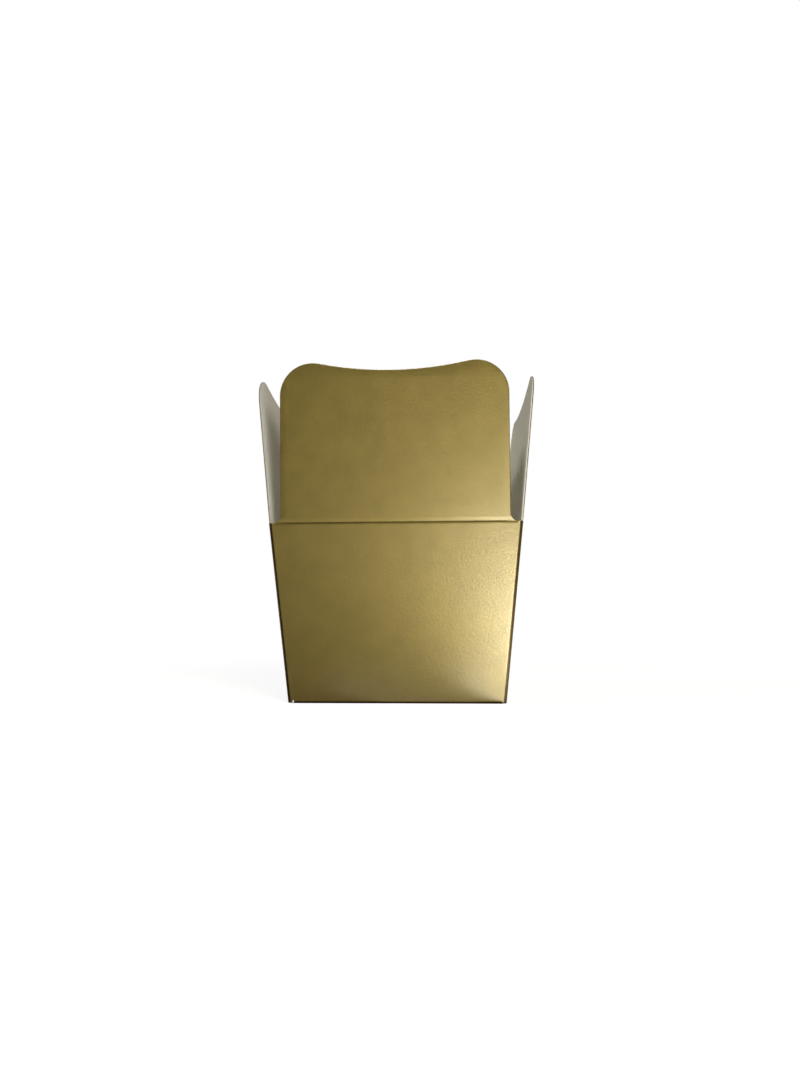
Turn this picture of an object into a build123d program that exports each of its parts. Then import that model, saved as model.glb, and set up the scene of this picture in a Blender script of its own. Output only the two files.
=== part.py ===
from build123d import *
import os
from math import atan2, cos, hypot, sin

# A small tapered favour box: one die-cut blank of folding board, creased, folded and glued,
# with four flaps at the top and a crash-lock base. Each panel between two creases is a piece.
# X runs from left to right, Y from front to back and Z up, from the middle of the base.

# Carton, in millimetres
board = 0.45                 # thickness of the folding board
top_width = 57.0             # outside width at the top creases
top_depth = 57.0             # outside depth at the top creases
wall_height = 40.1           # height of the front and rear top creases above the base
wall_inset = 4.15            # how far each wall leans in between its top crease and the base
corner_bend = 0.45           # inside radius of the four upright folds
base_bend = 0.35             # inside radius of the folds round the base
glue_film = 0.08             # dried adhesive between two glued faces

# Top flaps
flap_length = 36.0           # from the crease to the peaks of the shoulders
flap_layer_gap = 0.15        # free height between the side flaps and the flaps over them
end_flap_notch = 2.8         # corner of the carton to the side edge of a front or rear flap
end_flap_shoulder = 7.4      # radius of its shoulders
end_flap_dip = 1.9           # depth of the hollow in its free edge
end_flap_flare = 1.6         # radius by which its side edges run out to the crease
side_flap_notch = 0.8        # corner of the carton to the edge of a side flap
side_flap_shoulder = 7.4
side_flap_dip = 1.9
crease_bead = 0.36           # radius of the rounded ridge that a flap turns on
crease_gap = 0.09            # between that ridge and the trough in the wall's top edge
crease_end_gap = 0.15        # between the end of the ridge and the end of the trough

# Crash-lock base
crease_relief = 1.2          # a base panel's crease stops this far short of the corner
panel_draw = 2.5             # how far the free side of a main base panel slopes in
seam_gap = 0.4               # between the two main base panels along the middle
tongue_width = 9.0
tongue_reach = 6.0           # how far a locking tongue lies over the other panel
tongue_rise_run = 1.5        # length of the bend that lifts a tongue by one layer
tongue_slit = 0.4            # width of the cut beside a tongue
tongue_corner = 2.0
wing_relief = 1.0            # outer edge of a glue wing to the wall
wing_stop = 6.0              # end of a glue wing to the middle of the box
wing_slope = 2.6             # how far that end slopes
side_base_gap = 0.5          # free edge of a side base flap to the tongue beside it
side_base_splay = 4.0        # how far each of its ends slopes in
side_base_corner = 3.0
glue_margin = 1.5            # bare margin round a glued area

# Glued seam at the rear left corner
tab_width = 9.0              # glue tab, from the corner
tab_end_slope = 1.6          # how far each end of the tab slopes
tab_end_gap = 1.2            # top and bottom of the tab to the creases
seam_step = 0.15             # raw edge of the left wall to the outside of the rear wall

# Values that follow from these
lean = atan2(wall_inset, wall_height)
across = 1 / cos(lean)
side_floor = board + glue_film
side_crease = wall_height - board - flap_layer_gap
beyond = 10.0 + wall_inset   # how far a cutting block runs past the walls


def half_span(top_span, z, depth=0.0):
    """Half the outside span at height z, or of a face that lies depth inside the board."""
    return top_span / 2 - wall_inset * (1 - z / wall_height) - depth * across


def level(z, left, right, front, rear, radius):
    """Outline of the carton at height z, each side set in by its depth into the board."""
    x_low = -half_span(top_width, z, left)
    x_high = half_span(top_width, z, right)
    y_low = -half_span(top_depth, z, front)
    y_high = half_span(top_depth, z, rear)
    middle = Pos((x_low + x_high) / 2, (y_low + y_high) / 2, z)
    outline = Rectangle(x_high - x_low, y_high - y_low)
    return middle * fillet(outline.vertices(), radius)


def tapered(z_low, z_high, depths, radius, bend):
    """Solid tapered block with rounded upright corners and a rounded lower rim."""
    block = loft([level(z_low, *depths, radius), level(z_high, *depths, radius)], ruled=True)
    return fillet(block.edges().group_by(Axis.Z)[0], bend)


def shell(floor, top, depths=(0.0, 0.0, 0.0, 0.0)):
    """Open carton of board, whose outside faces lie at the given depths."""
    inner_depths = [depth + board for depth in depths]
    outside = tapered(floor, top, depths, corner_bend + board, base_bend + board)
    inside = tapered(floor + board, top + beyond, inner_depths, corner_bend, base_bend)
    return outside - inside


def between_corners(first, second):
    """Upright block for the wall between two corners, mitred at 45 degrees at each."""
    first = Vector(*first)
    second = Vector(*second)
    along = (second - first).normalized()
    inward = Vector(-along.Y, along.X)
    outline = Polyline(
        first - (along + inward) * beyond,
        second + (along - inward) * beyond,
        second - (along - inward) * beyond,
        first + (along + inward) * beyond,
        close=True,
    )
    return Pos(0, 0, -beyond) * extrude(make_face(outline), wall_height + 2 * beyond)


def facing(turns, solid):
    """Turn a piece drawn for the front to the right, rear or left of the carton."""
    return Rot(0, 0, 90 * turns) * solid


def above_base_fold(span, cross_span, floor):
    """Block over the mitre where a front wall meets its base panel."""
    outer = Vector(-half_span(span, floor), floor)
    inner = Vector(-half_span(span, floor + board, board), floor + board)
    slope = (inner - outer).normalized() * beyond
    high = wall_height + beyond
    outline = Polyline(
        (outer.X - 2 * beyond, (outer - slope).Y),
        outer - slope,
        inner + slope,
        ((inner + slope).X, high),
        (outer.X - 2 * beyond, high),
        close=True,
    )
    side_view = Plane(origin=(-cross_span, 0, 0), x_dir=(0, 1, 0), z_dir=(1, 0, 0))
    return extrude(side_view * make_face(outline), 2 * cross_span)


def plate(points, rounded, radius, z_low, thickness=board):
    """Flat piece of board from its outline, with the listed corners rounded."""
    face = make_face(Polyline(*points, close=True))
    corners = [v for v in face.vertices() if any(hypot(v.X - x, v.Y - y) < 1e-6 for x, y in rounded)]
    if corners:
        face = fillet(corners, radius)
    return Pos(0, 0, z_low) * extrude(face, thickness)


# Outside corners of the carton at the top creases
front_left = (-top_width / 2, -top_depth / 2)
front_right = (top_width / 2, -top_depth / 2)
rear_right = (top_width / 2, top_depth / 2)
seam_depth = board + glue_film
seam_corner = (-top_width / 2 + seam_depth * across, top_depth / 2)

# Creases that the top flaps turn on, in the middle of the board
end_axis_out = half_span(top_depth, wall_height, board / 2)
side_axis_out = half_span(top_width, side_crease, board / 2)
end_half = top_width / 2 - end_flap_notch
side_half = top_depth / 2 - side_flap_notch
end_root = end_half + end_flap_flare
side_root = side_half


def flap(half, shoulder, dip, flare):
    """Top flap with its ridge along X, standing along Y, its outside face towards +Z."""
    peak = half - shoulder
    shoulder_up = flap_length - shoulder
    hollow_up = shoulder_up - dip / 2 + peak ** 2 / (2 * dip)
    turn = atan2(peak, hollow_up - shoulder_up)
    meet = (peak - shoulder * sin(turn), shoulder_up + shoulder * cos(turn))
    mid_angle = atan2(meet[1] - shoulder_up, meet[0] - peak) / 2
    mid = (peak + shoulder * cos(mid_angle), shoulder_up + shoulder * sin(mid_angle))
    right_side = []
    if flare > 0:
        bite = flare * (1 - cos(atan2(1, 1)))
        right_side.append(ThreePointArc((half + flare, 0), (half + bite, bite), (half, flare)))
    right_side.append(Line((half, flare), (half, shoulder_up)))
    right_side.append(ThreePointArc((half, shoulder_up), mid, meet))
    left_side = [edge.mirror(Plane.YZ) for edge in right_side]
    free_edge = ThreePointArc(meet, (0, flap_length - dip), (-meet[0], meet[1]))
    crease = Line((-half - flare, 0), (half + flare, 0))
    outline = make_face(Curve() + [crease, free_edge] + right_side + left_side)
    ridge = Rot(0, 90, 0) * Cylinder(crease_bead, 2 * (half + flare))
    return extrude(outline, board / 2, both=True) + ridge


def flap_place(turns, out, up):
    """Where a flap stands: its ridge on the crease and its face in line with the wall."""
    upright = Plane(origin=(0, -out, up), x_dir=(1, 0, 0), z_dir=(0, -cos(lean), -sin(lean)))
    return Rot(0, 0, 90 * turns) * upright.location


def trough(turns, out, up, root):
    """Round block that clears the wall's top edge for a flap's ridge."""
    length = 2 * (root + crease_end_gap)
    return flap_place(turns, out, up) * Rot(0, 90, 0) * Cylinder(crease_bead + crease_gap, length)


front_trough = trough(0, end_axis_out, wall_height, end_root)
right_trough = trough(1, side_axis_out, side_crease, side_root)
rear_trough = trough(2, end_axis_out, wall_height, end_root)
left_trough = trough(3, side_axis_out, side_crease, side_root)

# Walls: the outside of the carton, parted at the corner folds and the base folds
end_shell = shell(0, wall_height)
side_shell = shell(side_floor, side_crease)
seam_shell = shell(0, wall_height, (seam_depth, 0.0, 0.0, 0.0))
end_walls_above = above_base_fold(top_depth, top_width, 0)
side_walls_above = above_base_fold(top_width, top_depth, side_floor)

front_wall = end_shell & between_corners(front_left, front_right) & end_walls_above
front_wall = front_wall - front_trough - left_trough - right_trough

right_wall = side_shell & between_corners(front_right, rear_right) & facing(1, side_walls_above)
right_wall = right_wall - right_trough - front_trough - rear_trough

rear_wall = seam_shell & between_corners(rear_right, seam_corner) & facing(2, end_walls_above)
rear_wall = rear_wall - rear_trough - left_trough - right_trough

# The left wall runs straight to the rear and ends in a raw cut edge over the glued seam
left_shell = shell(side_floor, side_crease, (0.0, 0.0, 0.0, -beyond))
past_rear = (-top_width / 2, top_depth / 2 + 3 * beyond)
raw_edge_depths = (-beyond, -beyond, -beyond, seam_step)
raw_edge = tapered(-beyond, wall_height + beyond, raw_edge_depths, corner_bend, base_bend)
left_wall = left_shell & between_corners(past_rear, front_left) & facing(3, side_walls_above)
left_wall = (left_wall & raw_edge) - left_trough - front_trough - rear_trough


def tab_block(margin):
    """Block with the side view of the glue tab, drawn in by a margin on every edge."""
    low = side_floor + board + tab_end_gap + margin
    high = side_crease - tab_end_gap - margin
    low_free = low + tab_end_slope
    high_free = high - tab_end_slope
    free_in = tab_width - margin
    outline = Polyline(
        (half_span(top_depth, low) - margin, low),
        (half_span(top_depth, low_free) - free_in, low_free),
        (half_span(top_depth, high_free) - free_in, high_free),
        (half_span(top_depth, high) - margin, high),
        close=True,
    )
    side_view = Plane(origin=(-top_width, 0, 0), x_dir=(0, 1, 0), z_dir=(1, 0, 0))
    return extrude(side_view * make_face(outline), top_width)


# Glue tab: folded from the rear wall and stuck to the inside of the left wall
seam_front = (seam_corner[0], -top_depth / 2)
glue_tab = seam_shell & between_corners(seam_corner, seam_front) & tab_block(0.0)
film_outside = tapered(-beyond, wall_height, (board, 0.0, 0.0, 0.0), corner_bend, base_bend)
film_inside_depths = (seam_depth, -beyond, -beyond, -beyond)
film_inside = tapered(-2 * beyond, wall_height + beyond, film_inside_depths, corner_bend, base_bend)
seam_adhesive = (film_outside - film_inside) & tab_block(glue_margin)

# Main base panels: folded in under the front and rear walls, each with a tongue that lies
# over the other panel
base_half_width = half_span(top_width, 0)
base_half_depth = half_span(top_depth, 0)
inner_half_width = half_span(top_width, board, board)
crease_half = base_half_width - crease_relief
seam_half = seam_gap / 2
rise_start = seam_half + tongue_rise_run
tongue_near = tongue_slit / 2
tongue_far = tongue_near + tongue_width
wing_crease_end = (-tongue_far, -base_half_depth + base_half_width - tongue_far)
panel_points = [
    (-crease_half, -base_half_depth - beyond),
    (crease_half, -base_half_depth - beyond),
    (crease_half, -base_half_depth + crease_relief),
    (crease_half - panel_draw, -seam_half),
    (tongue_near, -seam_half),
    (tongue_near, -rise_start),
    (-tongue_far, -rise_start),
    wing_crease_end,
    (-crease_half, -base_half_depth + crease_relief),
]
panel_tip = panel_points[3]
panel_block = plate(panel_points, [panel_tip], tongue_corner, -beyond, beyond + board + base_bend)
panel_flat = (end_shell & panel_block) - end_walls_above
lift = board + glue_film
tongue_side = Polyline(
    (-rise_start, 0),
    (-seam_half, lift),
    (tongue_reach, lift),
    (tongue_reach, lift + board),
    (-seam_half, lift + board),
    (-rise_start, board),
    close=True,
)
tongue_view = Plane(origin=(-tongue_far, 0, 0), x_dir=(0, 1, 0), z_dir=(1, 0, 0))
tongue_tips = [(-tongue_near, tongue_reach), (-tongue_far, tongue_reach)]
tongue_points = [(-tongue_far, -rise_start), (-tongue_near, -rise_start)] + tongue_tips
tongue_block = plate(tongue_points, tongue_tips, tongue_corner, 0, lift + board)
tongue = extrude(tongue_view * make_face(tongue_side), tongue_width) & tongue_block
front_base_panel = panel_flat + tongue
rear_base_panel = facing(2, front_base_panel)

# Glue wings: the corner of each main panel past its diagonal crease
wing_edge = -inner_half_width + wing_relief
wing_points = [
    (wing_edge, wing_edge + base_half_width - base_half_depth),
    wing_crease_end,
    (-tongue_far - wing_slope, -wing_stop),
    (wing_edge, -wing_stop),
]
front_base_wing = plate(wing_points, wing_points[2:], glue_margin, 0)
rear_base_wing = facing(2, front_base_wing)

# Side base flaps: folded in over the wings and glued to them
side_crease_half = half_span(top_depth, side_floor) - crease_relief
side_out = half_span(top_width, side_floor)
side_free = -tongue_far - side_base_gap
side_tips = [
    (side_crease_half - side_base_splay, side_free),
    (-side_crease_half + side_base_splay, side_free),
]
side_points = [
    (-side_crease_half, -side_out - beyond),
    (side_crease_half, -side_out - beyond),
    (side_crease_half, -side_out + crease_relief),
    *side_tips,
    (-side_crease_half, -side_out + crease_relief),
]
side_block_height = beyond + side_floor + board + base_bend
side_block = plate(side_points, side_tips, side_base_corner, -beyond, side_block_height)
left_base_flap = (side_shell & facing(3, side_block)) - facing(3, side_walls_above)
right_base_flap = (side_shell & facing(1, side_block)) - facing(1, side_walls_above)

# Adhesive between each wing and the side base flap over it
wing_face = make_face(Polyline(*wing_points, close=True))
flap_face = make_face(Polyline(*side_points, close=True))
glued_wing = Pos(0, 0, board) * extrude(offset(wing_face, -glue_margin), glue_film)
glued_flap = Pos(0, 0, board) * extrude(offset(flap_face, -glue_margin), glue_film)
left_base_adhesive = glued_wing & facing(3, glued_flap)
right_base_adhesive = facing(2, left_base_adhesive)

# Top flaps, standing in line with their walls
end_flap = flap(end_half, end_flap_shoulder, end_flap_dip, end_flap_flare)
side_flap = flap(side_half, side_flap_shoulder, side_flap_dip, 0.0)
front_flap = flap_place(0, end_axis_out, wall_height) * end_flap
right_flap = flap_place(1, side_axis_out, side_crease) * side_flap
rear_flap = flap_place(2, end_axis_out, wall_height) * end_flap
left_flap = flap_place(3, side_axis_out, side_crease) * side_flap

pieces = {
    "front_wall": front_wall,
    "right_wall": right_wall,
    "rear_wall": rear_wall,
    "left_wall": left_wall,
    "glue_tab": glue_tab,
    "seam_adhesive": seam_adhesive,
    "front_base_panel": front_base_panel,
    "rear_base_panel": rear_base_panel,
    "front_base_wing": front_base_wing,
    "rear_base_wing": rear_base_wing,
    "left_base_flap": left_base_flap,
    "right_base_flap": right_base_flap,
    "left_base_adhesive": left_base_adhesive,
    "right_base_adhesive": right_base_adhesive,
    "front_flap": front_flap,
    "right_flap": right_flap,
    "rear_flap": rear_flap,
    "left_flap": left_flap,
}
os.makedirs("parts", exist_ok=True)
for name, piece in pieces.items():
    export_step(piece, f"parts/{name}.step")
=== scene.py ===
from math import atan2, cos, hypot, pi, radians, sin, tan
import bmesh
import bpy
from mathutils import Matrix, Vector


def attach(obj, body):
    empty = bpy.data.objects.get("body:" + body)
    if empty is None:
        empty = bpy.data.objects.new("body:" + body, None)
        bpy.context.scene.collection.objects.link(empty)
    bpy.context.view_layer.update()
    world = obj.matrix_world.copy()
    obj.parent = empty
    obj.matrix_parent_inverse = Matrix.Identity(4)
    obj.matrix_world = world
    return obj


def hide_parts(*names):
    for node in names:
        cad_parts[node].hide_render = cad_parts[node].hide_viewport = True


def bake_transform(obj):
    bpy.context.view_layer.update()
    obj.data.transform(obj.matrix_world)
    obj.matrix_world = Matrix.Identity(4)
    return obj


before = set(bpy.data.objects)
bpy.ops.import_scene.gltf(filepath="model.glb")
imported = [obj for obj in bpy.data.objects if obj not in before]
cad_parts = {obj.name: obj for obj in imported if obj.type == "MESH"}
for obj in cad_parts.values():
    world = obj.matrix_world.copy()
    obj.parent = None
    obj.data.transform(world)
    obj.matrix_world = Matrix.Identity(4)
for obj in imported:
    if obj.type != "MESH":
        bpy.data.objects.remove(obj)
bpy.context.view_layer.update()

# The wrap: one strip of folding board that makes the four leaning walls and the glue tab.
# It is folded round upright creases at the corners. The tab is folded in from the rear wall
# and stuck to the inside of the left wall, which ends over it in a raw cut edge.
mm = 0.001
fine = 1e-7
board = 0.45 * mm
top_span = 57.0 * mm
base_span = 48.7 * mm
wall_height = 40.1 * mm
lean = atan2((top_span - base_span) / 2, wall_height)
side_floor = 0.53 * mm
side_crease = 39.5 * mm
seam_depth = 0.533 * mm
seam_step = 0.15 * mm
seam_slack = 0.03 * mm
corner_round = 0.9 * mm
corner_segments = 12
corner_foot = 0.12 * mm
crease_reach = 0.75 * mm
base_fold_reach = 0.925 * mm
end_slot_half = 27.32 * mm
side_slot_half = 28.0 * mm
base_slot_half = 23.3 * mm
sharp_edge = radians(32)


def half_span(z):
    """Half the outside span of the carton at height z."""
    return base_span / 2 + (top_span - base_span) / 2 * z / wall_height


def name_board(piece, name):
    """Name a piece of board for the CAD node that it stands for."""
    piece.name = name + "_board"
    piece.data.name = name + "_board"


def name_board(piece, name):
    """Name a piece of board for the CAD node that it stands for."""
    piece.name = name + "_board"
    piece.data.name = name + "_board"


def open_piece(name):
    """Name the primitive that was just added, and open it for editing."""
    piece = bpy.context.object
    name_board(piece, name)
    bpy.ops.object.mode_set(mode="EDIT")
    return piece


def take_up(piece):
    """Select one piece alone, and make it the one that is worked on."""
    bpy.ops.object.select_all(action="DESELECT")
    piece.select_set(True)
    bpy.context.view_layer.objects.active = piece


def pick(kind, wanted):
    """Select the vertices, edges or faces of the open piece that pass a test."""
    bpy.ops.mesh.select_mode(type=kind)
    bpy.ops.mesh.select_all(action="DESELECT")
    mesh = bmesh.from_edit_mesh(bpy.context.object.data)
    group = {"VERT": mesh.verts, "EDGE": mesh.edges, "FACE": mesh.faces}[kind]
    for part in group:
        if wanted(part):
            part.select_set(True)
    mesh.select_flush_mode()
    bmesh.update_edit_mesh(bpy.context.object.data)


def middle(part):
    """Middle of an edge or a face."""
    places = [v.co for v in part.verts]
    return sum(places, Vector()) / len(places)


def all_faces(face):
    """Test for pick that every face passes."""
    return True


def score(place, across, faces=all_faces, drop=False):
    """Cut faces along a plane, and drop what lies beyond it if that is asked."""
    pick("FACE", faces)
    bpy.ops.mesh.bisect(plane_co=place, plane_no=across, clear_outer=drop, threshold=fine)


def remove(faces):
    """Delete the faces that pass a test."""
    pick("FACE", faces)
    bpy.ops.mesh.delete(type="FACE")


def extrude_edges(wanted, step):
    """Draw new board out from the edges that pass a test."""
    pick("EDGE", wanted)
    bpy.ops.mesh.extrude_edges_move(TRANSFORM_OT_translate={"value": step})


def round_shading(piece):
    """Shade the round folds smooth and keep the cut edges sharp."""
    take_up(piece)
    bpy.ops.object.shade_smooth_by_angle(angle=sharp_edge)


def new_material(name):
    """Node material with its tree, its shader and its object coordinates."""
    material = bpy.data.materials.new(name)
    material.use_nodes = True
    tree = material.node_tree
    shader = tree.nodes["Principled BSDF"]
    place = tree.nodes.new("ShaderNodeTexCoord").outputs["Object"]
    return material, tree, shader, place


def noise(tree, place, scale, detail, roughness=0.5):
    """Noise value over the surface, scale in bumps per metre."""
    texture = tree.nodes.new("ShaderNodeTexNoise")
    texture.inputs["Scale"].default_value = scale
    texture.inputs["Detail"].default_value = detail
    texture.inputs["Roughness"].default_value = roughness
    tree.links.new(place, texture.inputs["Vector"])
    return texture.outputs["Fac"]


def spread(tree, value, from_low, from_high, to_low, to_high):
    """Map one range of a value to another."""
    ranged = tree.nodes.new("ShaderNodeMapRange")
    ranged.inputs["From Min"].default_value = from_low
    ranged.inputs["From Max"].default_value = from_high
    ranged.inputs["To Min"].default_value = to_low
    ranged.inputs["To Max"].default_value = to_high
    tree.links.new(value, ranged.inputs["Value"])
    return ranged.outputs["Result"]


def cloud(tree, value, low=0.0, high=1.0):
    """Spread a noise value, most of which lies between 0.3 and 0.7, over a range."""
    return spread(tree, value, 0.3, 0.7, low, high)


def blend_colours(tree, share, first, second):
    """Mix two colours by a share."""
    mix = tree.nodes.new("ShaderNodeMix")
    mix.data_type = "RGBA"
    share_in, first_in, second_in = mix.inputs[0], mix.inputs[6], mix.inputs[7]
    colour_out = mix.outputs[2]
    for socket, colour in ((first_in, first), (second_in, second)):
        if isinstance(colour, tuple):
            socket.default_value = (*colour, 1.0)
        else:
            tree.links.new(colour, socket)
    tree.links.new(share, share_in)
    return colour_out


def bump(tree, height, depth, under=None):
    """Surface normal from a height, over another normal if there is one."""
    relief = tree.nodes.new("ShaderNodeBump")
    relief.inputs["Distance"].default_value = depth
    tree.links.new(height, relief.inputs["Height"])
    if under is not None:
        tree.links.new(under, relief.inputs["Normal"])
    return relief.outputs["Normal"]


# Satin gold print on the outside of the board: metal flakes under a clear varnish.
# The colour is painted dark over the folds and rolled rims as painted shade, and along the creases
# as painted shade and cracked print; a point attribute marks it on each piece.
deep_gold_dull = (0.412, 0.307, 0.054)
deep_gold_bright = (0.473, 0.353, 0.065)
pale_gold_dull = (0.442, 0.33, 0.06)
pale_gold_bright = (0.503, 0.376, 0.072)
speck_brown = (0.16, 0.11, 0.02)
speck_core = 0.035
speck_rim = 0.06
speck_strength = 0.3
# Painted shade: the dark brown and the thin varnish where folds, creases and rims are marked,
# standing also for cracked print at the creases
shade_and_crush_brown = (0.085, 0.05, 0.006)
shade_and_crush_varnish = 0.1
smooth_print = 0.60
rough_print = 0.63
wave_depth = 0.02 * mm
grain_depth = 0.034 * mm
gold_print, tree, shader, place = new_material("gold_print")
flakes = noise(tree, place, scale=4200.0, detail=1.0)
mottle = noise(tree, place, scale=240.0, detail=4.0)
pebble = noise(tree, place, scale=1900.0, detail=2.0)
waves = noise(tree, place, scale=90.0, detail=2.0)
specks = tree.nodes.new("ShaderNodeTexVoronoi")
specks.inputs["Scale"].default_value = 170.0
tree.links.new(place, specks.inputs["Vector"])
mottle_share = cloud(tree, mottle)
deep_gold = blend_colours(tree, mottle_share, deep_gold_dull, deep_gold_bright)
pale_gold = blend_colours(tree, mottle_share, pale_gold_dull, pale_gold_bright)
flat_gold = blend_colours(tree, cloud(tree, flakes), deep_gold, pale_gold)
from_speck = specks.outputs["Distance"]
speck_share = spread(tree, from_speck, speck_core, speck_rim, speck_strength, 0.0)
marked_gold = blend_colours(tree, speck_share, flat_gold, speck_brown)
# Painted shade: the colour goes dark brown where the point attribute marks a fold, crease or rim
shade_and_wear_mark = tree.nodes.new("ShaderNodeAttribute")
shade_and_wear_mark.attribute_name = "fold_shade_and_wear"
shade_and_crush = shade_and_wear_mark.outputs["Fac"]
gold_colour = blend_colours(tree, shade_and_crush, marked_gold, shade_and_crush_brown)
tree.links.new(gold_colour, shader.inputs["Base Color"])
tree.links.new(cloud(tree, mottle, smooth_print, rough_print), shader.inputs["Roughness"])
shader.inputs["Metallic"].default_value = 1.0
# Painted shade: the varnish thins where the colour is painted dark, so those strips barely reflect
varnish = spread(tree, shade_and_crush, 0.0, 1.0, 1.0, shade_and_crush_varnish)
tree.links.new(varnish, shader.inputs["Coat Weight"])
shader.inputs["Coat Roughness"].default_value = 0.325
shader.inputs["Coat IOR"].default_value = 2.0
sheet_waves = bump(tree, waves, wave_depth)
grain = bump(tree, pebble, grain_depth, sheet_waves)
tree.links.new(grain, shader.inputs["Normal"])
tree.links.new(grain, shader.inputs["Coat Normal"])


def mark_shade_and_wear(piece, share):
    """Mark by place, from 0 to 1, how far painted shade, and at creases cracked print, darkens a
    piece.
    """
    marks = piece.data.attributes.new("fold_shade_and_wear", "FLOAT", "POINT")
    for vertex, mark in zip(piece.data.vertices, marks.data):
        mark.value = share(vertex.co)


def ramp(value, start, end):
    """Go from 0 at start to 1 at end, which may be the smaller of the two."""
    return min(max((value - start) / (end - start), 0.0), 1.0)


# Bare white inside of the board, with a faint cloud of fibres.
fibre_grey = (0.74, 0.72, 0.635)
fibre_white = (0.82, 0.80, 0.71)
fibre_smooth = 0.62
fibre_rough = 0.74
fibre_depth = 0.004 * mm
white_board, tree, shader, place = new_material("white_board")
fibres = noise(tree, place, scale=900.0, detail=6.0, roughness=0.65)
white_colour = blend_colours(tree, cloud(tree, fibres), fibre_grey, fibre_white)
tree.links.new(white_colour, shader.inputs["Base Color"])
tree.links.new(cloud(tree, fibres, fibre_smooth, fibre_rough), shader.inputs["Roughness"])
tree.links.new(bump(tree, fibres, fibre_depth), shader.inputs["Normal"])

# Raw cut edge: the cream core of the board between its two faces.
core_dark = (0.44, 0.40, 0.31)
core_cream = (0.56, 0.52, 0.42)
core_depth = 0.01 * mm
cut_edge, tree, shader, place = new_material("cut_edge")
core = noise(tree, place, scale=2600.0, detail=4.0, roughness=0.6)
core_colour = blend_colours(tree, cloud(tree, core), core_dark, core_cream)
tree.links.new(core_colour, shader.inputs["Base Color"])
shader.inputs["Roughness"].default_value = 0.85
tree.links.new(bump(tree, core, core_depth), shader.inputs["Normal"])
printed, bare, raw = range(3)


def give_board(piece, offset):
    """Thicken a sheet to board with a printed outside, a bare inside and raw cut edges."""
    bpy.ops.object.mode_set(mode="OBJECT")
    for finish in (gold_print, white_board, cut_edge):
        piece.data.materials.append(finish)
    solid = piece.modifiers.new("board", "SOLIDIFY")
    solid.thickness = board
    solid.offset = offset
    solid.use_even_offset = True
    solid.material_offset = bare
    solid.material_offset_rim = raw
    bpy.ops.object.modifier_apply(modifier=solid.name)


# The sleeve of four walls, from a block that tapers to the base
facing = 0.7
taper = base_span / top_span
bpy.ops.object.select_all(action="DESELECT")
bpy.ops.mesh.primitive_cube_add(size=top_span)
wrap = open_piece("left_wall")
bpy.ops.transform.resize(value=(1, 1, wall_height / top_span))
bpy.ops.transform.translate(value=(0, 0, wall_height / 2))
pick("VERT", lambda v: v.co.z < fine)
bpy.ops.transform.resize(value=(taper, taper, 1), center_override=(0, 0, 0))
remove(lambda f: abs(f.normal.z) > facing or f.normal.x < -facing)

# The left wall, drawn back from the front left fold to its raw edge
past_base = base_span / 2 + 1.0 * mm
extrude_edges(
    lambda e: all(v.co.x < 0 and v.co.y < 0 for v in e.verts),
    (0, top_span - seam_step, 0),
)
pick("VERT", lambda v: v.co.z < fine and v.co.y > past_base)
bpy.ops.transform.translate(value=(0, base_span - top_span, 0))

# The glue tab, drawn forward from the rear wall's edge
tab_width = 9.0 * mm
tab_low = 2.18 * mm
tab_high = 38.3 * mm
tab_slope = 1.6 * mm
tab_slack = 0.01 * mm


def on_rear_left(vertex):
    """True on the rear wall's left edge, and not on the left wall's raw edge beside it."""
    return vertex.co.x < 0 and abs(vertex.co.y - half_span(vertex.co.z)) < seam_step / 2


pick("EDGE", lambda e: all(on_rear_left(v) for v in e.verts))
bpy.ops.transform.translate(value=(seam_depth, 0, 0))
bpy.ops.mesh.extrude_edges_move(TRANSFORM_OT_translate={"value": (0, -tab_width, 0)})

# The four upright folds
pick("EDGE", lambda e: len(e.link_faces) == 2)
bpy.ops.mesh.bevel(offset=corner_round, segments=corner_segments, affect="EDGES")


def depth_from(face, wall):
    """How far a face lies inside the outside plane of a wall."""
    place = middle(face)
    out = half_span(place.z)
    depths = {
        "front_wall": out + place.y,
        "rear_wall": out - place.y,
        "left_wall": out + place.x,
        "right_wall": out - place.x,
    }
    return depths[wall]


def on_tab(face):
    """True on the glue tab and on the half of its fold beside it."""
    left = depth_from(face, "left_wall") - seam_depth
    rear = depth_from(face, "rear_wall")
    return -seam_slack < left < rear < tab_width and left < corner_round


# Both ends of the tab and its fold, trimmed to a slope
for level, way in ((tab_high, 1), (tab_low, -1)):
    tab_corner = Vector((0, half_span(level), level))
    tab_across = Vector((0, -tab_slope, way * tab_width))
    score(tab_corner, tab_across, on_tab)
    remove(lambda f: on_tab(f) and (middle(f) - tab_corner).dot(tab_across) > 0)

# Room along the top for each flap's crease, and along the bottom for each base fold
flat_facing = 0.99
for normal_axis, along_axis, crease_level, fold_level, flap_slot_half in (
    (1, 0, wall_height, 0.0, end_slot_half),
    (0, 1, side_crease, side_floor, side_slot_half),
):
    top_cut = crease_level - crease_reach * cos(lean)
    low_cut = fold_level + base_fold_reach * cos(lean)
    along = [0.0, 0.0, 0.0]
    along[along_axis] = 1.0

    def flat_wall(face):
        """True on the flat of these two walls, clear of the folds and the tab."""
        tab = normal_axis == 0 and on_tab(face)
        return abs(face.normal[normal_axis]) > flat_facing and not tab

    def above_cut(face):
        """True on the strip over the crease."""
        return flat_wall(face) and middle(face).z > top_cut

    def below_cut(face):
        """True on the strip under the base fold."""
        return flat_wall(face) and middle(face).z < low_cut

    score((0, 0, top_cut), (0, 0, 1), flat_wall)
    score((0, 0, low_cut), (0, 0, 1), flat_wall)
    for side in (-1, 1):
        score([side * flap_slot_half * a for a in along], along, above_cut)
        score([side * base_slot_half * a for a in along], along, below_cut)
    remove(lambda f: above_cut(f) and abs(middle(f)[along_axis]) < flap_slot_half)
    remove(lambda f: below_cut(f) and abs(middle(f)[along_axis]) < base_slot_half)
score((0, 0, corner_foot), (0, 0, -1), drop=True)
give_board(wrap, -1)


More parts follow.
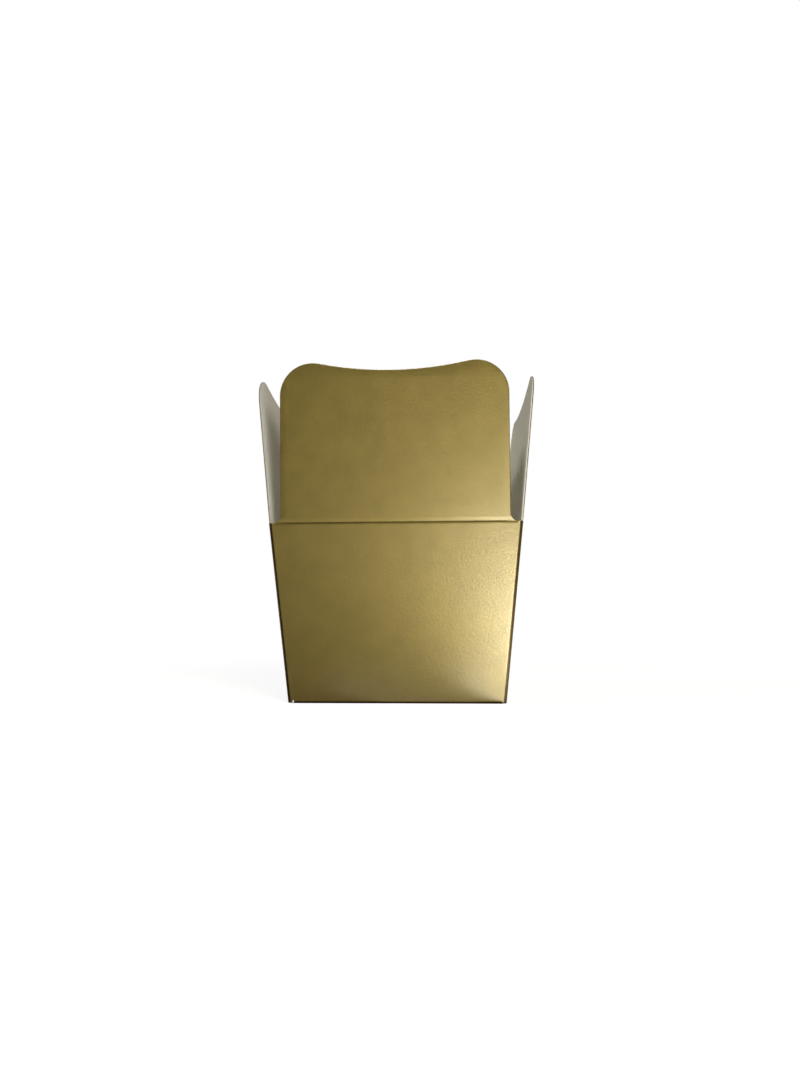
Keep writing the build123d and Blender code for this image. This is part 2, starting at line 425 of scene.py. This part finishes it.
def wall_of(face):
    """Name of the wall that a face of the wrap belongs to, parted in the middle of the folds."""
    front = depth_from(face, "front_wall")
    rear = depth_from(face, "rear_wall")
    left = depth_from(face, "left_wall")
    right = depth_from(face, "right_wall")
    if front <= min(left, right, rear):
        return "front_wall"
    if right <= min(rear, left):
        return "right_wall"
    if left < seam_depth - seam_slack or front < rear:
        return "left_wall"
    beside_tab = tab_low - tab_slack < middle(face).z < tab_high + tab_slack
    return "glue_tab" if rear > left - seam_depth and beside_tab else "rear_wall"


# Painted shade over the upright folds
corner_slack = 0.02 * mm
corner_shade_start = 0.002 * mm
corner_shade_end = 0.03 * mm


def corner_shade(place):
    """Painted shade over an upright fold."""
    out = half_span(place.z)
    depths = sorted((out - abs(place.x), out - abs(place.y)))
    if depths[1] > corner_round + corner_slack:
        return 0.0
    return ramp(depths[0], corner_shade_start, corner_shade_end)


# The wrap is parted into its walls and the tab, one piece for each CAD node
walls = {"left_wall": wrap}
for name in ("front_wall", "right_wall", "rear_wall", "glue_tab"):
    take_up(wrap)
    bpy.ops.object.mode_set(mode="EDIT")
    pick("FACE", lambda f: wall_of(f) == name)
    bpy.ops.mesh.separate(type="SELECTED")
    bpy.ops.object.mode_set(mode="OBJECT")
    walls[name] = next(o for o in bpy.context.selected_objects if o is not wrap)
    name_board(walls[name], name)
for name, wall in walls.items():
    take_up(wall)
    bpy.ops.object.mode_set(mode="EDIT")
    bpy.ops.mesh.select_all(action="SELECT")
    bpy.ops.mesh.fill_holes(sides=0)
    bpy.ops.object.mode_set(mode="OBJECT")
    # Painted shade: the upright folds are painted dark
    mark_shade_and_wear(wall, corner_shade)
    round_shading(wall)
    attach(wall, "carton")
    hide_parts(name)

# The main base panels: folded in under the front and rear walls, of the same board.
# Each has a diagonal side where its glue wing begins, and a tongue that locks over the other.
base_half = base_span / 2
base_round = 0.8 * mm
base_segments = 8
crease_left = 22.95 * mm
crease_right = 23.3 * mm
seam_half = 0.2 * mm
tongue_near = 0.2 * mm
tongue_far = 9.2 * mm
tongue_root = 1.7 * mm
tongue_reach = 6.0 * mm
tongue_lift = 0.53 * mm
panel_draw = 2.5 * mm
corner_relief = 1.2 * mm
tip_round = 2.0 * mm
tip_slack = 0.01 * mm
fold_offset = base_round * tan((pi / 2 - lean) / 2)
# Painted shade over the base folds: how far in from the wall's foot it reaches, and how high
fold_shade_depth = (0.9 * mm, 0.4 * mm)
fold_shade_rise = (0.6 * mm, 0.42 * mm)


def turn_up(wanted, out):
    """Fold the crease edge of a base piece up to the wall that carries it."""
    rise = Vector(out) * sin(lean) * base_fold_reach
    rise.z = cos(lean) * base_fold_reach
    extrude_edges(wanted, rise)
    pick("EDGE", lambda e: len(e.link_faces) == 2 and wanted(e))
    bpy.ops.mesh.bevel(offset=fold_offset, segments=base_segments, affect="EDGES")


def round_tips(places, radius):
    """Round the free corners of a base piece."""
    pick("VERT", lambda v: any(hypot(v.co.x - x, v.co.y - y) < tip_slack for x, y in places))
    bpy.ops.mesh.bevel(offset=radius, segments=base_segments, affect="VERTICES")


def turn_outside(way):
    """Turn the outside of the open sheet up for way 1, or down for way -1."""
    bpy.ops.mesh.select_all(action="SELECT")
    bpy.ops.mesh.normals_make_consistent(inside=False)
    mesh = bmesh.from_edit_mesh(bpy.context.object.data)
    upward = sum(f.normal.z * f.calc_area() for f in mesh.faces)
    if upward * way < 0:
        bpy.ops.mesh.flip_normals()


def base_fold_shade(depth, rise):
    """Painted shade over a base fold, by depth in from the wall's foot and rise over it."""
    return ramp(depth, *fold_shade_depth) * ramp(rise, *fold_shade_rise)


def turned_copy(piece, name):
    """Copy a finished base piece, turned half round to the opposite wall."""
    take_up(piece)
    bpy.ops.object.duplicate()
    copy = bpy.context.object
    name_board(copy, name)
    bpy.ops.transform.rotate(value=pi, orient_axis="Z", center_override=(0, 0, 0))
    bpy.ops.object.transform_apply(location=True, rotation=True, scale=True)
    return copy


def lay_in_base(piece, node):
    """Finish a base piece and fix it to the carton in place of its CAD node."""
    round_shading(piece)
    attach(piece, "carton")
    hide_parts(node)


def at_tongue_root(edge):
    """True on the edge that the tongue is drawn out from."""
    place = middle(edge)
    across = abs(edge.verts[0].co.y - edge.verts[1].co.y) < fine
    return across and abs(place.y + tongue_root) < fine and -tongue_far < place.x < -tongue_near


def on_front_fold(edge):
    """True along the foot of the front wall, where the panel turns up."""
    return all(abs(v.co.y + base_half) < fine and abs(v.co.z) < fine for v in edge.verts)


bpy.ops.object.select_all(action="DESELECT")
bpy.ops.mesh.primitive_plane_add(size=base_span)
front_panel = open_piece("front_base_panel")
score((0, -seam_half, 0), (0, 1, 0), drop=True)
score((crease_right, 0, 0), (1, 0, 0), drop=True)
score((-crease_left, 0, 0), (-1, 0, 0), drop=True)
slope_run = base_half - corner_relief - seam_half
score((crease_right, -base_half + corner_relief, 0), (slope_run, panel_draw, 0), drop=True)
score((0, 0, 0), (-1, 1, 0))
for cut in (-tongue_far, -tongue_near, tongue_near):
    score((cut, 0, 0), (1, 0, 0))
score((0, -tongue_root, 0), (0, 1, 0))
remove(lambda f: middle(f).x < -tongue_far and middle(f).y > middle(f).x)
remove(lambda f: abs(middle(f).x) < tongue_near and middle(f).y > -tongue_root)
remove(lambda f: -tongue_far < middle(f).x < 0 and middle(f).y > -tongue_root)
extrude_edges(at_tongue_root, (0, tongue_root - seam_half, tongue_lift))
tongue_run = (0, tongue_reach + seam_half, 0)
bpy.ops.mesh.extrude_edges_move(TRANSFORM_OT_translate={"value": tongue_run})
round_tips(((-tongue_near, tongue_reach), (-tongue_far, tongue_reach)), tip_round)
round_tips(((crease_right - panel_draw, -seam_half),), tip_round)
turn_up(on_front_fold, (0, -1, 0))
turn_outside(-1)
give_board(front_panel, -1)
# Painted shade over the front panel's fold
mark_shade_and_wear(front_panel, lambda p: base_fold_shade(base_half + p.y, p.z))
rear_panel = turned_copy(front_panel, "rear_base_panel")
lay_in_base(front_panel, "front_base_panel")
lay_in_base(rear_panel, "rear_base_panel")

# The glue wings: the corners of the main panels past their diagonal creases, of the same board.
# The side base flaps are stuck down on them, which locks the base square.
wing_edge = 22.944 * mm
wing_stop = 6.0 * mm
wing_slope = 2.6 * mm
wing_round = 1.5 * mm
crease_line = 0.03 * mm
bpy.ops.object.select_all(action="DESELECT")
bpy.ops.mesh.primitive_plane_add(size=2 * wing_edge)
front_wing = open_piece("front_base_wing")
score((0, -wing_stop, 0), (0, 1, 0), drop=True)
score((-crease_line, crease_line, 0), (1, -1, 0), drop=True)
score((-tongue_far, -tongue_far, 0), (tongue_far - wing_stop, wing_slope, 0), drop=True)
round_tips(((-wing_edge, -wing_stop), (-tongue_far - wing_slope, -wing_stop)), wing_round)
turn_outside(-1)
give_board(front_wing, -1)
rear_wing = turned_copy(front_wing, "rear_base_wing")
lay_in_base(front_wing, "front_base_wing")
lay_in_base(rear_wing, "rear_base_wing")

# The side base flaps: folded in from the side walls over the wings and stuck to them.
# Their free ends are splayed and rounded so that the base can fold flat.
side_half = half_span(side_floor)
side_crease_half = side_half - corner_relief
side_free = 9.7 * mm
side_splay = 4.0 * mm
side_tip_round = 3.0 * mm


def on_left_fold(edge):
    """True along the foot of the left wall, where the flap turns up."""
    places = [v.co for v in edge.verts]
    return all(abs(p.x + side_half) < fine and abs(p.z - side_floor) < fine for p in places)


bpy.ops.object.select_all(action="DESELECT")
bpy.ops.mesh.primitive_plane_add(size=2 * side_half)
left_base_flap = open_piece("left_base_flap")
bpy.ops.transform.translate(value=(0, 0, side_floor))
score((-side_free, 0, 0), (1, 0, 0), drop=True)
splay_run = side_half - corner_relief - side_free
for side in (-1, 1):
    score((0, side * side_crease_half, 0), (0, side, 0), drop=True)
    splay_across = (side_splay, side * splay_run, 0)
    score((-side_half + corner_relief, side * side_crease_half, 0), splay_across, drop=True)
side_tip = side_crease_half - side_splay
round_tips(((-side_free, side_tip), (-side_free, -side_tip)), side_tip_round)
turn_up(on_left_fold, (-1, 0, 0))
turn_outside(-1)
give_board(left_base_flap, -1)
# Painted shade over the side flap's fold
mark_shade_and_wear(left_base_flap, lambda p: base_fold_shade(side_half + p.x, p.z - side_floor))
right_base_flap = turned_copy(left_base_flap, "right_base_flap")
lay_in_base(left_base_flap, "left_base_flap")
lay_in_base(right_base_flap, "right_base_flap")

# Dried adhesive: thin films that hold the tab to the left wall and the wings to the side flaps.
# They lie between two boards, and only their edges can be seen.
glue_dark = (0.62, 0.56, 0.40)
glue_pale = (0.74, 0.69, 0.55)
glue_smooth = 0.25
glue_rough = 0.5
dried_glue, tree, shader, place = new_material("dried_glue")
smears = noise(tree, place, scale=700.0, detail=4.0)
glue_colour = blend_colours(tree, cloud(tree, smears), glue_dark, glue_pale)
tree.links.new(glue_colour, shader.inputs["Base Color"])
tree.links.new(cloud(tree, smears, glue_smooth, glue_rough), shader.inputs["Roughness"])
for name in ("seam_adhesive", "left_base_adhesive", "right_base_adhesive"):
    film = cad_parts[name]
    film.data.materials.clear()
    film.data.materials.append(dried_glue)

# The top flaps: four panels of the same board above the creases along the tops of the walls.
# All have round shoulders and a hollow free edge. The roots of the front and rear flaps run
# out to the corners, and the side flaps are wider. Each crease is pressed from the print side.
flap_length = 36.0 * mm
shoulder = 7.4 * mm
dip = 1.9 * mm
end_half = 25.7 * mm
end_flare = 1.6 * mm
side_flap_half = 27.55 * mm
root_steps = 8
shoulder_steps = 18
hollow_steps = 24
weld = 0.002 * mm
cell = 4.0 * mm
cells_aside = 6
groove_depth = 0.11 * mm
groove_low = 0.45 * mm
groove_high = 1.1 * mm
groove_mm = (-0.6, -0.45, -0.3, -0.15, 0.0, 0.15, 0.3, 0.5, 0.7, 0.9, 1.1)
groove_lines = [line * mm for line in groove_mm]
rim_roll = 0.2 * mm
rim_segments = 3
rim_start = 1.15 * mm
# Painted shade round the rolled rim
rim_shade = 0.9
rim_shade_start = 1.2 * mm
rim_shade_top = board / 2 - 0.01 * mm
rim_shade_low = board / 2 - 0.07 * mm
# Painted shade and cracked print along the crease
crease_shade_and_crush_half = 0.24 * mm
crease_shade_and_crush_stop = 0.9 * mm
crease_shade_and_crush_fade = 0.5 * mm


def run_on(step):
    """Draw the outline on from its last point along a straight line."""
    bpy.ops.mesh.extrude_vertices_move(TRANSFORM_OT_translate={"value": (*step, 0)})


def swing(centre, angle, steps):
    """Draw the outline on from its last point along an arc, anticlockwise if angle is positive."""
    bpy.ops.mesh.spin(steps=steps, angle=-angle, center=(*centre, 0), axis=(0, 0, 1))


def on_rim(edge):
    """True where the print meets the cut edge of a flap, clear of the crease."""
    sides = sorted(f.material_index for f in edge.link_faces)
    return sides == [printed, raw] and middle(edge).y > rim_start


def cut_flap(name, half, flare):
    """Flap lying flat: its crease on X, its free edge towards Y and its outside up."""
    root = half + flare
    peak = half - shoulder
    shoulder_up = flap_length - shoulder
    hollow_up = shoulder_up - dip / 2 + peak ** 2 / (2 * dip)
    lean_in = atan2(peak, hollow_up - shoulder_up)
    bpy.ops.object.select_all(action="DESELECT")
    bpy.ops.mesh.primitive_plane_add(size=1)
    flap = open_piece(name)
    bpy.ops.transform.resize(value=(2 * root, crease_reach, 1))
    bpy.ops.transform.translate(value=(0, -crease_reach / 2, 0))
    pick("VERT", lambda v: v.co.x > 0 and abs(v.co.y) < fine)
    if flare > 0:
        swing((root, flare), -pi / 2, root_steps)
    run_on((0, shoulder_up - flare))
    swing((peak, shoulder_up), pi / 2 + lean_in, shoulder_steps)
    swing((0, hollow_up), -2 * lean_in, hollow_steps)
    swing((-peak, shoulder_up), pi / 2 + lean_in, shoulder_steps)
    run_on((0, flare - shoulder_up))
    if flare > 0:
        swing((-root, flare), -pi / 2, root_steps)
    bpy.ops.mesh.select_all(action="SELECT")
    bpy.ops.mesh.remove_doubles(threshold=weld)
    pick("VERT", lambda v: v.co.y > -fine)
    bpy.ops.mesh.edge_face_add()

    # Lines across the crease and over the flap, and the pressed groove
    for line in groove_lines:
        score((0, line, 0), (0, 1, 0))
    for step in range(1, int(flap_length / cell) + 1):
        score((0, step * cell, 0), (0, 1, 0))
    for step in range(-cells_aside, cells_aside + 1):
        score((step * cell, 0, 0), (1, 0, 0))
    for line in groove_lines:
        share = min(line / groove_high if line > 0 else -line / groove_low, 1.0)
        press = -groove_depth * (1 + cos(pi * share)) / 2
        pick("VERT", lambda v: abs(v.co.y - line) < fine)
        bpy.ops.transform.translate(value=(0, 0, press))
    turn_outside(1)
    give_board(flap, 0)

    # The die rolls the printed edge over a little. The colour is painted dark round the rolled rim
    # as painted shade, and along the crease as painted shade and cracked print.
    bpy.ops.object.mode_set(mode="EDIT")
    pick("EDGE", on_rim)
    bpy.ops.mesh.bevel(offset=rim_roll, segments=rim_segments, affect="EDGES", material=printed)
    bpy.ops.object.mode_set(mode="OBJECT")
    crease_end = root - crease_shade_and_crush_stop

    def flap_shade_and_crush(place):
        """Painted shade and cracked print along the crease, and painted shade round the rolled
        rim.
        """
        inside_ends = ramp(abs(place.x), crease_end + crease_shade_and_crush_fade, crease_end)
        crease = ramp(abs(place.y), crease_shade_and_crush_half, 0.0) * inside_ends
        rim = 0.0
        if place.y > rim_shade_start:
            rim = rim_shade * ramp(place.z, rim_shade_top, rim_shade_low)
        return max(crease, rim)

    # Painted shade along the crease and rim, with cracked print at the crease
    mark_shade_and_wear(flap, flap_shade_and_crush)
    return flap


def stand_up(flap, turns, out, up):
    """Stand a flap on its crease in line with the wall, turned to the wall that carries it."""
    upright = Matrix(((1, 0, 0), (0, -sin(lean), -cos(lean)), (0, cos(lean), -sin(lean))))
    flap.matrix_world = (
        Matrix.Rotation(turns * pi / 2, 4, "Z")
        @ Matrix.Translation((0, -out, up))
        @ upright.to_4x4()
    )
    take_up(flap)
    bpy.ops.object.transform_apply(location=True, rotation=True, scale=True)
    round_shading(flap)


# Each flap stands over its wall on its crease
axis_depth = board / 2 / cos(lean)
for name, turns, crease_level in (
    ("front_flap", 0, wall_height),
    ("right_flap", 1, side_crease),
    ("rear_flap", 2, wall_height),
    ("left_flap", 3, side_crease),
):
    if turns % 2 == 0:
        flap = cut_flap(name, end_half, end_flare)
    else:
        flap = cut_flap(name, side_flap_half, 0.0)
    out = half_span(crease_level) - axis_depth
    stand_up(flap, turns, out, crease_level)
    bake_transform(flap)
    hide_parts(name)

# The set: a plain pale floor, a white surround, soft lamps and the camera of the photograph.
# Floor and surround are white to the camera, and the floor keeps the shadow of the carton.
# The gold mirrors a dim room and the soft lamps that lie on the floor.
white_light = (1.0, 1.0, 1.0, 1.0)
floor_size = 3.0
floor_drop = 0.02 * mm
floor_grey = (0.53, 0.495, 0.37, 1.0)
floor_lift = (0.82, 0.835, 0.88, 1.0)
shadow_reach = 200 * mm
shadow_full = 0.6
opening_inset = 0.8 * mm
bpy.ops.object.select_all(action="DESELECT")
bpy.ops.mesh.primitive_plane_add(size=floor_size, location=(0, 0, -floor_drop))
floor = bpy.context.object
floor.name = "floor"
floor_paint = bpy.data.materials.new("floor_paint")
floor_paint.use_nodes = True
tree = floor_paint.node_tree
tree.nodes.clear()
output = tree.nodes.new("ShaderNodeOutputMaterial")
where = tree.nodes.new("ShaderNodeTexCoord").outputs["Object"]


def soft_patch(tree, where, reach):
    """Soft round patch about the middle of the floor, 1 in its middle and 0 at its rim."""
    shrink = tree.nodes.new("ShaderNodeMapping")
    shrink.vector_type = "TEXTURE"
    shrink.inputs["Scale"].default_value = (reach, reach, 1.0)
    tree.links.new(where, shrink.inputs["Vector"])
    fall = tree.nodes.new("ShaderNodeTexGradient")
    fall.gradient_type = "SPHERICAL"
    tree.links.new(shrink.outputs["Vector"], fall.inputs["Vector"])
    return fall.outputs["Fac"]


def mix_shaders(tree, share, first, second):
    """Mix two shaders by a share."""
    mix = tree.nodes.new("ShaderNodeMixShader")
    tree.links.new(share, mix.inputs[0])
    tree.links.new(first.outputs[0], mix.inputs[1])
    tree.links.new(second.outputs[0], mix.inputs[2])
    return mix


def number(tree, operation, first, second=0.0):
    """Work a number out from one or two others."""
    step = tree.nodes.new("ShaderNodeMath")
    step.operation = operation
    for socket, value in ((step.inputs[0], first), (step.inputs[1], second)):
        if isinstance(value, float):
            socket.default_value = value
        else:
            tree.links.new(value, socket)
    return step.outputs["Value"]


# White to the camera, with the shadow kept near the carton
lit = tree.nodes.new("ShaderNodeBsdfDiffuse")
lit.inputs["Color"].default_value = floor_grey
lift = tree.nodes.new("ShaderNodeEmission")
lift.inputs["Color"].default_value = floor_lift
shadowed = tree.nodes.new("ShaderNodeAddShader")
tree.links.new(lit.outputs[0], shadowed.inputs[0])
tree.links.new(lift.outputs[0], shadowed.inputs[1])
white = tree.nodes.new("ShaderNodeEmission")
white.inputs["Color"].default_value = white_light
near_carton = soft_patch(tree, where, shadow_reach)
shadow_share = spread(tree, near_carton, 0.0, shadow_full, 0.0, 1.0)
seen = mix_shaders(tree, shadow_share, white, shadowed)

# Open to light under the carton, so that its underside shows, and dark there from above
apart = tree.nodes.new("ShaderNodeSeparateXYZ")
tree.links.new(where, apart.inputs["Vector"])
from_side = number(tree, "ABSOLUTE", apart.outputs["X"])
from_front = number(tree, "ABSOLUTE", apart.outputs["Y"])
from_middle = number(tree, "MAXIMUM", from_side, from_front)
under_carton = number(tree, "LESS_THAN", from_middle, base_half - opening_inset)
clear = tree.nodes.new("ShaderNodeBsdfTransparent")
seen_floor = mix_shaders(tree, under_carton, seen, lit)
lit_floor = mix_shaders(tree, under_carton, lit, clear)
path = tree.nodes.new("ShaderNodeLightPath")
above_floor = mix_shaders(tree, path.outputs["Is Camera Ray"], lit_floor, seen_floor)
below = tree.nodes.new("ShaderNodeNewGeometry").outputs["Backfacing"]
either_side = mix_shaders(tree, below, above_floor, clear)
tree.links.new(either_side.outputs[0], output.inputs["Surface"])
floor.data.materials.append(floor_paint)

# White surround for the camera, and a dim warm room for the light on the carton
room_light = (0.152, 0.140, 0.106, 1.0)
surround = bpy.data.worlds.new("surround")
bpy.context.scene.world = surround
surround.use_nodes = True
tree = surround.node_tree
tree.nodes.clear()
output = tree.nodes.new("ShaderNodeOutputWorld")
path = tree.nodes.new("ShaderNodeLightPath")
backdrop = tree.nodes.new("ShaderNodeBackground")
backdrop.inputs["Color"].default_value = white_light
room = tree.nodes.new("ShaderNodeBackground")
room.inputs["Color"].default_value = room_light
chosen = mix_shaders(tree, path.outputs["Is Camera Ray"], room, backdrop)
tree.links.new(chosen.outputs[0], output.inputs["Surface"])


def hang_lamp(name, power, colour):
    """Area lamp that the camera doesn't see."""
    light = bpy.data.lights.new(name, "AREA")
    light.energy = power
    light.color = colour
    holder = bpy.data.objects.new(name, light)
    bpy.context.scene.collection.objects.link(holder)
    holder.visible_camera = False
    return holder


# Lamps on the white board, which don't show in the gold, and one over the lid for the gold alone
lamp_distance = 0.7
lamp_aim = Vector((0, 0, 40 * mm))


def studio_lamp(name, azimuth, elevation, size, power, colour):
    """Soft square lamp aimed at the middle of the carton."""
    holder = hang_lamp(name, power, colour)
    holder.data.size = size
    turn = radians(azimuth)
    rise = radians(elevation)
    back = Vector((sin(turn) * cos(rise), -cos(turn) * cos(rise), sin(rise)))
    holder.location = lamp_aim + back * lamp_distance
    holder.rotation_euler = (-back).to_track_quat("-Z", "Y").to_euler()
    holder.visible_glossy = False
    return holder


studio_lamp("key_lamp", 25, 22, size=0.24, power=2.6, colour=(1.0, 0.98, 0.94))
studio_lamp("left_lamp", -85, 18, size=0.07, power=1.1, colour=(1.0, 0.99, 0.97))
top_lamp = studio_lamp("top_lamp", 0, 90, size=0.22, power=3.2, colour=(1.0, 0.985, 0.95))
top_lamp.visible_glossy = True
top_lamp.visible_diffuse = False

# Lamps lying on the floor, which the leaning walls mirror: one off each side, two at the front
floor_light = (0.975, 1.0, 1.08)
floor_lamp_rise = 0.2 * mm
slant = 0.145


def floor_lamp(name, at, width, length, turn, power):
    """Soft oval lamp shining up from a place on the floor, all in millimetres."""
    holder = hang_lamp(name, power, floor_light)
    holder.data.shape = "ELLIPSE"
    holder.data.size = width * mm
    holder.data.size_y = length * mm
    holder.location = (at[0] * mm, at[1] * mm, floor_lamp_rise)
    holder.rotation_euler = (pi, 0.0, turn)


floor_lamp("front_strip", (72.2, -236), width=56, length=430, turn=slant, power=0.42)
floor_lamp("rear_strip", (-72.2, 236), width=56, length=430, turn=slant, power=0.42)
floor_lamp("right_strip", (248, 2), width=50, length=406, turn=pi / 2, power=0.17)
floor_lamp("left_strip", (-248, 2), width=50, length=406, turn=pi / 2, power=0.17)
floor_lamp("near_lamp", (34, -50), width=40, length=56, turn=slant, power=0.0094)
floor_lamp("near_fill", (8, -42), width=56, length=38, turn=0.0, power=0.001)

# Camera of the photograph
camera_data = bpy.data.cameras.new("camera")
camera_data.sensor_width = 36.0
camera_data.lens = 24.97
camera_data.clip_start = 0.01
camera_data.clip_end = 10.0
camera = bpy.data.objects.new("camera", camera_data)
bpy.context.scene.collection.objects.link(camera)
yaw = 0.0585
pitch = 0.1205
roll = -0.0032
right = Vector((cos(yaw), sin(yaw), 0))
ahead = Vector((-sin(yaw) * cos(pitch), cos(yaw) * cos(pitch), sin(pitch)))
above = right.cross(ahead)
camera_right = right * cos(roll) + above * sin(roll)
camera_above = above * cos(roll) - right * sin(roll)
camera_turn = Matrix((camera_right, camera_above, -ahead)).transposed()
camera.location = (10.71 * mm, -191.35 * mm, 17.73 * mm)
camera.rotation_euler = camera_turn.to_euler()
bpy.context.scene.camera = camera
bpy.context.scene.view_settings.view_transform = "Standard"
